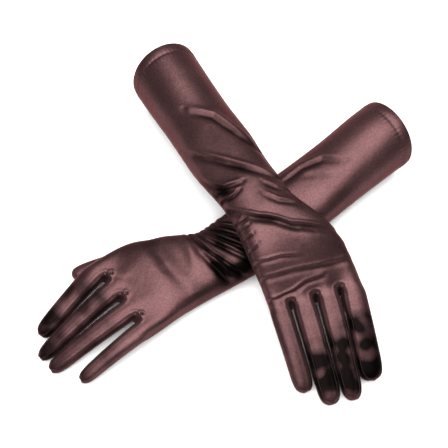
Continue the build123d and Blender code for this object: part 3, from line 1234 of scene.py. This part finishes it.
    def add_thumb(self, cage: Cage) -> None:
        """Opens the side of the hand and extrudes the thumb from it."""
        rows = self.thumb_rows()
        slots = [HALF_RING, HALF_RING + 1, HALF_RING + 2]
        cage.open_patch([(row, slot) for row in rows for slot in slots])
        back, middle, front = rows
        top, side, sole = slots
        sources = [
            (back, side), (back, top), (middle, top), (front, top),
            (front, side), (front, sole), (middle, sole), (back, sole),
        ]
        shape = cage.edit()
        found = cage.corners(shape)
        base = self.rows[middle]
        start = [np.array(found[key].co) for key in sources]
        panels = [Panel.THUMB.value] * DIGIT_CORNERS
        shares = (0.12, 0.26, 0.4, 0.54, 0.68, 0.8, 0.9, 0.965)
        for step, share in enumerate(shares):
            ring = self.digit_ring(self.thumb, share, 0.72, base, 0.001)
            near = 0.62 if step == 0 else 0.25 if step == 1 else 0.0
            for spot, corner in zip(ring, start):
                spot.point = spot.point * (1 - near) + corner * near
            if share > 0.85:
                self.draw_in(ring, 0.92 if share < 0.95 else 0.66)
            targets = [(THUMB_ROW + step, slot) for slot in range(DIGIT_CORNERS)]
            cage.extrude(sources, targets, ring, panels)
            sources = targets
        self.close_digit(cage, self.thumb, sources, base, panels)

    def seam_sharpness(self) -> dict[frozenset, float]:
        """Returns how sharp the cloth turns at each kind of seam."""
        sharp = {}
        hand_back, hand_palm = Panel.HAND_BACK.value, Panel.HAND_PALM.value
        for number in range(len(FINGERS)):
            back, palm = Panel.FINGER_BACK.value + number, Panel.FINGER_PALM.value + number
            outer, inner = Panel.FOURCHETTE_OUTER.value + number, Panel.FOURCHETTE_INNER.value + number
            for strip in (outer, inner):
                for panel in (back, palm, hand_back, hand_palm):
                    sharp[frozenset((panel, strip))] = 0.75
            sharp[frozenset((back, palm))] = 0.3
        sharp[frozenset((Panel.SLEEVE_BACK.value, Panel.SLEEVE_FRONT.value))] = 0.2
        sharp[frozenset((hand_back, hand_palm))] = 0.2
        for panel in (hand_back, hand_palm):
            sharp[frozenset((panel, Panel.THUMB.value))] = 0.35
        return sharp

    # ---- the smooth skin
    def press_folds(self, skin: bpy.types.Object) -> None:
        """Presses the folds, the hem's seam and the sewn seams into the skin, and writes its painted shade.
        """
        mesh = skin.data
        points, normals = mesh_points(mesh), mesh_normals(mesh)
        place = attribute_values(mesh, "place", 3)
        along, across, upper = place[:, 0], place[:, 1], place[:, 2]
        lift, sunk = np.zeros(len(points)), np.zeros(len(points))
        for fold in self.folds:
            rise, depth = fold.lift(along, across, upper)
            lift += rise
            sunk += depth
        if self.knotted:
            rise, depth = self.knots(along, across, upper)
            lift += rise
            sunk += depth
        # Painted shade: the grooves, the knot hollows, the patches and the fingers are darkened in the
        # colour.
        self.darken(mesh, along, across, upper, sunk)
        lift += self.hem_relief(along - self.rows[0].along / MM, attribute_values(mesh, "arc", 1)[:, 0])
        points = points + normals * lift[:, None] * MM
        set_points(mesh, points)
        self.sew_seams(skin)

    def knots(self, along: Array, across: Array, upper: Array) -> tuple[Array, Array]:
        """Crumples the cloth into a small knot at the top of each finger slot.

        Args:
            along, across, upper: each point's place on the flat cloth.

        Returns:
            The lift of each point in millimetres, and how deep in a hollow it lies, for the painted shade.
        """
        wide = self.knuckle_ring(self.rows[-1])
        lift, sunk = np.zeros(len(along)), np.zeros(len(along))
        for slot in (3, 6, 9):
            middle = (wide[slot][0] + wide[slot + 1][0]) / 2 / MM
            ahead = along - self.rows[-1].along / MM + self.web_back / MM + 1.8
            reach = np.hypot(ahead, across - middle)
            angle = np.arctan2(across - middle, ahead)
            rim = np.exp(-(((reach - 2.9) / 1.0) ** 2)) * (1 + 0.35 * np.sin(4 * angle + slot))
            hollow = np.exp(-((reach / 1.5) ** 2))
            top = smooth_step(upper * 3)
            lift += (0.9 * rim - 1.0 * hollow) * top
            sunk += 1.8 * hollow * top
        return lift, sunk

    def darken(self, mesh: bpy.types.Mesh, along: Array, across: Array, upper: Array, sunk: Array) -> None:
        """Writes the painted shade of the cloth: in grooves, in soft patches and on the fingers."""
        shade = attribute_values(mesh, "shade", 1)[:, 0]
        soft = sum(patch.level(along, across) for patch in self.patches) * smooth_step(upper * 2 + 0.5)
        hand = along < self.rows[-1].along / MM
        shade = np.clip(shade + np.where(hand, soft, 0) + self.groove_shade * sunk, 0, 0.98)
        mesh.attributes["shade"].data.foreach_set("value", shade)

    def hem_relief(self, from_hem: Array, arc: Array) -> Array:
        """Returns the lift of the turned-up hem and its stitched line, in millimetres."""
        line = np.exp(-(((from_hem - 9.5) / 0.9) ** 2))
        plump = 0.35 * np.exp(-(((from_hem - 4.5) / 3.2) ** 2))
        pucker = 0.16 * np.sin(arc * 1.55) * np.exp(-(((from_hem - 10.5) / 3.5) ** 2))
        return plump - 0.5 * line + pucker

    def sew_seams(self, skin: bpy.types.Object) -> None:
        """Sinks a narrow groove along each fourchette seam, with a raised edge beside it."""
        mesh = skin.data
        points, normals = mesh_points(mesh), mesh_normals(mesh)
        for first, second in self.seam_pairs():
            seam = border_corners(mesh, first, second)
            if not len(seam):
                continue
            tree = KDTree(len(seam))
            for number, corner in enumerate(seam):
                tree.insert(points[corner], number)
            tree.balance()
            low, high = points[seam].min(0) - 0.004, points[seam].max(0) + 0.004
            near = np.nonzero(np.all((points > low) & (points < high), axis=1))[0]
            gaps = np.array([tree.find(points[corner])[2] for corner in near])
            groove = np.exp(-((gaps / self.seam_width) ** 2))
            edge = np.exp(-(((gaps - 2.4 * self.seam_width) / (1.1 * self.seam_width)) ** 2))
            points[near] += normals[near] * ((0.5 * edge - groove) * self.seam_depth)[:, None]
        set_points(mesh, points)

    def seam_pairs(self) -> list[tuple[int, int]]:
        """Returns the pairs of panels that are sewn together along the fingers."""
        pairs = []
        for number in range(len(FINGERS)):
            for strip in (Panel.FOURCHETTE_OUTER.value, Panel.FOURCHETTE_INNER.value):
                pairs.append((Panel.FINGER_BACK.value + number, strip + number))
                pairs.append((Panel.FINGER_PALM.value + number, strip + number))
                pairs.append((Panel.HAND_BACK.value, strip + number))
        pairs.append((Panel.HAND_BACK.value, Panel.THUMB.value))
        pairs.append((Panel.HAND_PALM.value, Panel.THUMB.value))
        return pairs

    def settle(self, skin: bpy.types.Object, under: list[bpy.types.Object]) -> None:
        """Keeps the skin on the surface and on top of what lies under it.

        Args:
            skin: the skin to settle.
            under: skins that it lies on.
        """
        points = mesh_points(skin.data)
        points[:, 2] = np.maximum(points[:, 2], 0.0002)
        lift = np.zeros(len(points))
        for below in under:
            lower = mesh_points(below.data)
            low, high = lower.min(0), lower.max(0)
            inside = np.all((points[:, :2] > low[:2]) & (points[:, :2] < high[:2]), axis=1)
            close = np.nonzero(inside & (points[:, 2] < high[2] + 0.003))[0]
            for corner in close:
                x, y, z = points[corner]
                hit, place, _, _ = below.ray_cast(Vector((x, y, 0.2)), Vector((0, 0, -1)))
                if hit and place.z - 0.02 < z < place.z + self.rest_gap:
                    lift[corner] = place.z + self.rest_gap - z
        if lift.any():
            ends = np.array([edge.vertices[:] for edge in skin.data.edges])
            count = np.bincount(ends.ravel(), minlength=len(points))
            for _ in range(self.settle_rounds):
                near = np.bincount(ends[:, 0], lift[ends[:, 1]], len(points))
                near += np.bincount(ends[:, 1], lift[ends[:, 0]], len(points))
                lift = np.maximum(lift, near / count)
        points[:, 2] += lift
        set_points(skin.data, points)

    # ---- taking the skin apart into panels
    def panel_parts(self) -> dict[str, int]:
        """Returns the panel of each cut piece of cloth, by its node's name."""
        parts = {
            "sleeve_back": Panel.SLEEVE_BACK.value,
            "sleeve_front": Panel.SLEEVE_FRONT.value,
            "hand_back": Panel.HAND_BACK.value,
            "hand_palm": Panel.HAND_PALM.value,
            "thumb": Panel.THUMB.value,
        }
        for number, finger in enumerate(FINGERS):
            parts[f"{finger.value}_back"] = Panel.FINGER_BACK.value + number
            parts[f"{finger.value}_palm"] = Panel.FINGER_PALM.value + number
            if number:
                parts[f"{finger.value}_fourchette_outer"] = Panel.FOURCHETTE_OUTER.value + number
            if number < GAPS:
                parts[f"{finger.value}_fourchette_inner"] = Panel.FOURCHETTE_INNER.value + number
        return parts

    def cut_panels(self, skin: bpy.types.Object, satin: bpy.types.Material) -> None:
        """Cuts the skin along its seams, and gives each piece its cloth and its body."""
        store_normals(skin.data)
        for part, panel in self.panel_parts().items():
            piece = separate_panel(skin, panel, self.node(part) + "_cloth")
            give_wall(piece, self.cloth)
            give_uv(piece)
            piece.data.materials.clear()
            piece.data.materials.append(satin)
            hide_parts(self.node(part))
            self.hang(piece, part)
            log.info("%s: %d faces", piece.name, len(piece.data.polygons))
        bpy.data.objects.remove(skin)

    def hang(self, piece: bpy.types.Object, part: str) -> None:
        """Lets a piece follow its body, turning softly across the joint."""
        kind = part.split("_")[0]
        if kind in ("sleeve", "hand"):
            bodies, root = ("sleeve", "hand"), self.wrist
            heading, span = self.wrist_heading, self.wrist_span
        elif kind == "thumb":
            bodies, root = ("hand", "thumb"), self.thumb.root
            heading, span = self.thumb.heading, self.thumb_span
        else:
            number = [finger.value for finger in FINGERS].index(kind)
            bodies, root = ("hand", f"{kind}_finger"), self.digits[number].root
            heading, span = self.knuckle_heading, self.knuckle_span
        start, end = (tuple(root + heading * reach) for reach in span)
        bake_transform(piece, self.node(bodies[0]), self.node(bodies[1]), start, end)

    # ---- stitching
    def stitch_fingers(self, skin: bpy.types.Object, thread: bpy.types.Material) -> None:
        """Sews a row of small stitches along each fourchette seam."""
        for number, finger in enumerate(FINGERS):
            pairs = [(Panel.HAND_BACK.value, Panel.FOURCHETTE_INNER.value + number)]
            for strip in (Panel.FOURCHETTE_OUTER.value, Panel.FOURCHETTE_INNER.value):
                pairs.append((Panel.FINGER_BACK.value + number, strip + number))
            runs = []
            for back, strip in pairs:
                for chain in border_chains(skin.data, back, strip):
                    runs.append((chain, panel_middle(skin.data, back, chain)))
            seats = []
            for chain, inside in runs:
                seats += stitch_seats(skin, chain, inside, self.stitch_gap, 0.0007)
            if not seats:
                continue
            piece = sew(self.node(f"{finger.value}_seam_thread"), seats, thread)
            self.hang(piece, finger.value)
            log.info("%s: %d stitches", piece.name, len(seats))

    def hem_seats(self, skin: bpy.types.Object) -> list:
        """Returns the seats of the zigzag stitches round the hem."""
        station = interpolate(self.rows, self.rows[0].along + 0.0095)
        ring = [spot.point for spot in self.placed_ring(station, self.even_ring(station))]
        ring = resample(np.array(ring + [ring[0]]), self.stitch_gap)
        seats = []
        for number, (point, after) in enumerate(zip(ring, ring[1:])):
            _, place, normal, _ = skin.closest_point_on_mesh(Vector(point))
            tangent = after - point
            tangent = tangent / np.linalg.norm(tangent)
            swing = 35 if number % 2 else -35
            normal = np.array(normal)
            side = np.cross(normal, tangent)
            angle = math.radians(swing)
            seats.append((np.array(place), tangent * math.cos(angle) + side * math.sin(angle), normal))
        return seats

    def finish_hem(
        self, skin: bpy.types.Object, lining: bpy.types.Material, thread: bpy.types.Material
    ) -> None:
        """Makes the band inside the cuff and the stitches that hold it."""
        stitches = sew(self.node("hem_thread"), self.hem_seats(skin), thread)
        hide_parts(self.node("hem_stitching"))
        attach(stitches, self.node("sleeve"))
        depths = (0.0004, 0.003, 0.0065, 0.0095, self.hem_depth)
        insets = (0.0009, 0.0016, 0.0018, 0.0016, 0.0012)
        rings = []
        for depth, inset in zip(depths, insets):
            station = interpolate(self.rows, self.rows[0].along + depth)
            corners = []
            for across, up in self.even_ring(station):
                size = math.hypot(across, up)
                corners.append((across * (1 - inset / size), up * (1 - inset / size)))
            rings.append(self.placed_ring(station, corners))
        cage = Cage(self.node("hem_band"), rings[0])
        for number in range(1, len(rings)):
            cage.extrude(
                row_keys(number - 1),
                row_keys(number),
                rings[number],
                [Panel.SLEEVE_BACK.value] * RING_SIZE,
            )
        band = cage.finish({})
        inwards = self.rows[0].centre
        points, normals = mesh_points(band.data), mesh_normals(band.data)
        if np.mean(np.einsum("ij,ij->i", points - inwards, normals)) > 0:
            band.data.flip_normals()
        store_normals(band.data)
        give_wall(band, self.cloth)
        give_uv(band)
        band.data.materials.append(lining)
        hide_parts(self.node("cuff_hem"))
        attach(band, self.node("sleeve"))
        log.info("%s: %d faces", band.name, len(band.data.polygons))


# ---------------------------------------------------------------- work on meshes
def mesh_normals(mesh: bpy.types.Mesh) -> Array:
    """Returns the outward direction at each corner."""
    return read(mesh.vertex_normals, "vector", 3)


def set_points(mesh: bpy.types.Mesh, points: Array) -> None:
    """Moves a mesh's corners."""
    mesh.vertices.foreach_set("co", points.ravel())
    mesh.update()


def attribute_values(mesh: bpy.types.Mesh, name: str, width: int) -> Array:
    """Returns an attribute's values, one row for each element."""
    attribute = mesh.attributes[name]
    return read(attribute.data, "vector" if width == 3 else "value", width).reshape(-1, width)


def face_panels(mesh: bpy.types.Mesh) -> Array:
    """Returns the panel of each face."""
    return read(mesh.attributes["panel"].data, "value", kind=np.int32)


def border_edges(mesh: bpy.types.Mesh, first: int, second: int) -> Array:
    """Returns the edges between two panels, each as its two corners."""
    panels = face_panels(mesh)
    sizes = read(mesh.polygons, "loop_total", kind=np.int64)
    loop_edges = read(mesh.loops, "edge_index", kind=np.int64)
    owner = np.repeat(panels, sizes)
    touched = {}
    for panel in (first, second):
        touched[panel] = np.zeros(len(mesh.edges), dtype=bool)
        touched[panel][loop_edges[owner == panel]] = True
    both = np.nonzero(touched[first] & touched[second])[0]
    return read(mesh.edges, "vertices", 2, np.int64)[both]


def border_corners(mesh: bpy.types.Mesh, first: int, second: int) -> Array:
    """Returns the corners on the seam between two panels."""
    return np.unique(border_edges(mesh, first, second))


def border_chains(mesh: bpy.types.Mesh, first: int, second: int) -> list[Array]:
    """Returns the seams between two panels, each as a row of points in order."""
    links: dict[int, list[int]] = {}
    for start, end in border_edges(mesh, first, second):
        links.setdefault(int(start), []).append(int(end))
        links.setdefault(int(end), []).append(int(start))
    points = mesh_points(mesh)
    chains = []
    left = set(links)
    while left:
        loose = sorted(corner for corner in left if len([n for n in links[corner] if n in left]) < 2)
        here = loose[0] if loose else min(left)
        row = []
        while here is not None:
            row.append(here)
            left.discard(here)
            onward = sorted(corner for corner in links[here] if corner in left)
            here = onward[0] if onward else None
        if len(row) > 3:
            chains.append(points[row])
    return chains


def panel_middle(mesh: bpy.types.Mesh, panel: int, chain: Array) -> Array:
    """Returns, for each point of a seam, the middle of the panel's cloth nearby."""
    panels = face_panels(mesh)
    centres = read(mesh.polygons, "center", 3)[panels == panel]
    low, high = chain.min(0) - 0.006, chain.max(0) + 0.006
    centres = centres[np.all((centres > low) & (centres < high), axis=1)]
    middles = []
    for point in chain:
        near = centres[np.linalg.norm(centres - point, axis=1) < 0.004]
        middles.append(near.mean(0) if len(near) else point)
    return np.array(middles)


def resample(line: Array, gap: float) -> Array:
    """Returns points at even gaps along a line."""
    steps = np.concatenate([[0.0], np.cumsum(np.linalg.norm(np.diff(line, axis=0), axis=1))])
    count = max(2, int(round(steps[-1] / gap)))
    marks = np.linspace(0, steps[-1], count + 1)
    return np.stack([np.interp(marks, steps, line[:, axis]) for axis in range(line.shape[1])], axis=1)


def stitch_seats(skin: bpy.types.Object, chain: Array, inside: Array, gap: float, aside: float) -> list:
    """Finds where the stitches of one seam sit.

    Args:
        skin: the skin that they lie on.
        chain: the seam's points in order.
        inside: for each point, the middle of the cloth that the stitches lie on.
        gap: the distance between stitches.
        aside: how far from the seam they lie.

    Returns:
        For each stitch its place, its direction and the cloth's outward direction.
    """
    both = resample(np.hstack([chain, inside]), gap)
    seats = []
    for here, after in zip(both, both[1:]):
        middle = (here[:3] + after[:3]) / 2
        tangent = after[:3] - here[:3]
        length = np.linalg.norm(tangent)
        towards = here[3:] - here[:3]
        towards = towards / max(np.linalg.norm(towards), 1e-9)
        if length < 1e-9:
            continue
        _, place, normal, _ = skin.closest_point_on_mesh(Vector(middle + towards * aside))
        seats.append((np.array(place), tangent / length, np.array(normal)))
    return seats


def sew(name: str, seats: list, thread: bpy.types.Material) -> bpy.types.Object:
    """Models one stitch and copies it to every seat.

    Args:
        name: what the row of stitches is called.
        seats: place, direction and outward direction of each stitch.
        thread: the thread's material.

    Returns:
        The row of stitches as one object.
    """
    deselect_all()
    lying = (0, math.pi / 2, 0)
    bpy.ops.mesh.primitive_cylinder_add(vertices=6, radius=0.00024, depth=0.0010, rotation=lying)
    stitch = bpy.context.active_object
    bpy.ops.object.transform_apply(location=True, rotation=True, scale=True)
    bpy.ops.object.mode_set(mode="EDIT")
    bpy.ops.mesh.select_mode(type="FACE")
    bpy.ops.mesh.select_all(action="DESELECT")
    shape = bmesh.from_edit_mesh(stitch.data)
    for face in shape.faces:
        face.select_set(abs(face.normal.x) > 0.9)
    bmesh.update_edit_mesh(stitch.data)
    bpy.ops.mesh.inset(thickness=0.00008)
    bpy.ops.transform.resize(value=(1.3, 0.8, 0.8))
    bpy.ops.object.mode_set(mode="OBJECT")
    model = mesh_points(stitch.data)
    ends = np.abs(model[:, 0]) / np.abs(model[:, 0]).max()
    model[:, 2] -= 0.00012 * ends**2
    corners, faces = [], []
    for number, (place, tangent, normal) in enumerate(seats):
        side = np.cross(normal, tangent)
        side = side / np.linalg.norm(side)
        tangent = np.cross(side, normal)
        frame_axes = np.stack([tangent, side, normal])
        corners.append(model @ frame_axes + place + normal * 0.00010)
        first = number * len(model)
        faces += [[first + corner for corner in face.vertices] for face in stitch.data.polygons]
    mesh = bpy.data.meshes.new(name)
    mesh.from_pydata(np.vstack(corners).tolist(), [], faces)
    row = bpy.data.objects.new(name, mesh)
    bpy.context.scene.collection.objects.link(row)
    bpy.data.objects.remove(stitch)
    uv = mesh.uv_layers.new(name="UVMap")
    loops = read(mesh.loops, "vertex_index", kind=np.int64)
    uv.data.foreach_set("uv", (mesh_points(mesh)[loops][:, :2] / MM).ravel())
    mesh.materials.append(thread)
    mesh.shade_smooth()
    return row


def store_normals(mesh: bpy.types.Mesh) -> None:
    """Keeps the whole skin's outward directions, so that its pieces still meet smoothly."""
    normals = mesh_normals(mesh)
    kept = mesh.attributes.new("skin_normal", "FLOAT_VECTOR", "POINT")
    kept.data.foreach_set("vector", normals.ravel())


def separate_panel(skin: bpy.types.Object, panel: int, name: str) -> bpy.types.Object:
    """Cuts one panel out of the skin.

    Args:
        skin: the skin, which loses the panel.
        panel: which panel to cut out.
        name: the new piece's name.

    Returns:
        The panel as an object of its own.
    """
    deselect_all()
    skin.select_set(True)
    bpy.context.view_layer.objects.active = skin
    bpy.ops.object.mode_set(mode="EDIT")
    bpy.ops.mesh.select_mode(type="FACE")
    bpy.ops.mesh.select_all(action="DESELECT")
    bpy.ops.object.mode_set(mode="OBJECT")
    skin.data.polygons.foreach_set("select", face_panels(skin.data) == panel)
    bpy.ops.object.mode_set(mode="EDIT")
    bpy.ops.mesh.separate(type="SELECTED")
    bpy.ops.object.mode_set(mode="OBJECT")
    piece = next(found for found in bpy.context.selected_objects if found != skin)
    piece.name = name
    piece.data.name = name
    return piece


def give_wall(piece: bpy.types.Object, thickness: float) -> None:
    """Gives a piece of cloth its thickness, inwards, and keeps the whole skin's smoothness."""
    outer = len(piece.data.polygons)
    deselect_all()
    piece.select_set(True)
    bpy.context.view_layer.objects.active = piece
    wall = piece.modifiers.new("wall", "SOLIDIFY")
    wall.thickness = thickness
    wall.offset = -1
    bpy.ops.object.modifier_apply(modifier=wall.name)
    mesh = piece.data
    mesh.shade_smooth()
    normals = attribute_values(mesh, "skin_normal", 3)
    sizes = read(mesh.polygons, "loop_total", kind=np.int64)
    loops = read(mesh.loops, "vertex_index", kind=np.int64)
    which = np.repeat(np.arange(len(mesh.polygons)), sizes)
    sign = np.where(which < outer, 1.0, np.where(which < 2 * outer, -1.0, 0.0))
    mesh.normals_split_custom_set((normals[loops] * sign[:, None]).tolist())


def give_uv(piece: bpy.types.Object) -> None:
    """Lays the cloth's own map on a piece: round it and along it, in millimetres."""
    mesh = piece.data
    uv = mesh.uv_layers.new(name="UVMap")
    loops = read(mesh.loops, "vertex_index", kind=np.int64)
    arc = attribute_values(mesh, "arc", 1)[loops, 0]
    along = attribute_values(mesh, "place", 3)[loops, 0]
    uv.data.foreach_set("uv", np.stack([arc, along], axis=1).ravel())


# ---------------------------------------------------------------- the studio
@dataclass(frozen=True)
class SoftLight:
    """A large soft lamp that looks at the middle of the pair."""

    name: str
    azimuth: float
    elevation: float
    distance: float
    width: float
    height: float
    power: float

    def add(self, target: Array) -> None:
        """Adds the lamp."""
        turn, rise = math.radians(self.azimuth), math.radians(self.elevation)
        way = np.array([math.sin(turn) * math.cos(rise), -math.cos(turn) * math.cos(rise), math.sin(rise)])
        place = Vector(target + way * self.distance)
        facing = (Vector(target) - place).to_track_quat("-Z", "Y").to_euler()
        bpy.ops.object.light_add(type="AREA", location=place, rotation=facing)
        lamp = bpy.context.active_object
        lamp.name = self.name
        lamp.data.shape = "RECTANGLE"
        lamp.data.size = self.width
        lamp.data.size_y = self.height
        lamp.data.energy = self.power


@dataclass(frozen=True)
class Studio:
    """The pale floor, the lamps and the camera."""

    from_right_wrist: tuple = (-0.035, -0.004)
    target_height: float = 0.035
    elevation: float = 65.0
    distance: float = 1.0
    lens: float = 86.4
    floor_size: float = 8.0
    world_level: float = 0.42

    def build(self) -> None:
        """Adds the floor, the lamps, the world and the camera."""
        deselect_all()
        bpy.ops.mesh.primitive_plane_add(size=self.floor_size, location=(0, 0, 0))
        floor = bpy.context.active_object
        floor.name = "pale_floor"
        paper = bpy.data.materials.new("pale_paper")
        paper.use_nodes = True
        shader = paper.node_tree.nodes["Principled BSDF"]
        shader.inputs["Base Color"].default_value = (0.92, 0.92, 0.92, 1)
        shader.inputs["Roughness"].default_value = 0.9
        shader.inputs["Specular IOR Level"].default_value = 0.1
        floor.data.materials.append(paper)
        wrist = joint("right_wrist")["pos_m"]
        aside, ahead = self.from_right_wrist
        target = np.array([wrist[0] + aside, wrist[1] + ahead, self.target_height])
        for light in (
            SoftLight("top_window", 60.0, elevation=87.5, distance=1.7, width=2.2, height=1.6, power=76.0),
            SoftLight("front_fill", -30.0, elevation=50.0, distance=2.2, width=1.6, height=1.2, power=14.0),
        ):
            light.add(target)
        scene = bpy.context.scene
        scene.world = bpy.data.worlds.new("room")
        scene.world.use_nodes = True
        sky = scene.world.node_tree.nodes["Background"]
        sky.inputs["Color"].default_value = (1.0, 1.0, 1.0, 1)
        sky.inputs["Strength"].default_value = self.world_level
        scene.view_settings.view_transform = "Standard"
        rise = math.radians(self.elevation)
        place = Vector(target + self.distance * np.array([0.0, -math.cos(rise), math.sin(rise)]))
        facing = (Vector(target) - place).to_track_quat("-Z", "Y").to_euler()
        bpy.ops.object.camera_add(location=place, rotation=facing)
        camera = bpy.context.active_object
        camera.data.lens = self.lens
        camera.data.sensor_width = 36.0
        scene.camera = camera


# ---------------------------------------------------------------- the pair
def build_pair() -> None:
    """Builds both gloves, the lower one first."""
    satin, lining, thread = SATIN.make(), LINING.make(), THREAD.make()
    settled: list = []
    for side, folds, shades, patches in (
        (Side.LEFT, LEFT_FOLDS, LEFT_SHADES, LEFT_SHADE_PATCHES),
        (Side.RIGHT, RIGHT_FOLDS, RIGHT_SHADES, RIGHT_SHADE_PATCHES),
    ):
        upper = side is Side.RIGHT
        glove = Glove(side, folds, shades, patches, knotted=not upper, finger_fill=1.13 if upper else 1.06)
        skin = glove.build_cage()
        log.info("%s: %d faces", skin.name, len(skin.data.polygons))
        glove.press_folds(skin)
        glove.settle(skin, settled)
        below = bpy.data.objects.new(skin.name + "_below", skin.data.copy())
        bpy.context.scene.collection.objects.link(below)
        settled.append(below)
        glove.finish_hem(skin, lining, thread)
        glove.stitch_fingers(skin, thread)
        glove.cut_panels(skin, satin)
    for below in settled:
        bpy.data.objects.remove(below)


def main() -> None:
    """Builds the pair and the studio."""
    logging.basicConfig(level=logging.INFO, format="%(name)s: %(message)s")
    build_pair()
    Studio().build()


if __name__ == "__main__":
    main()
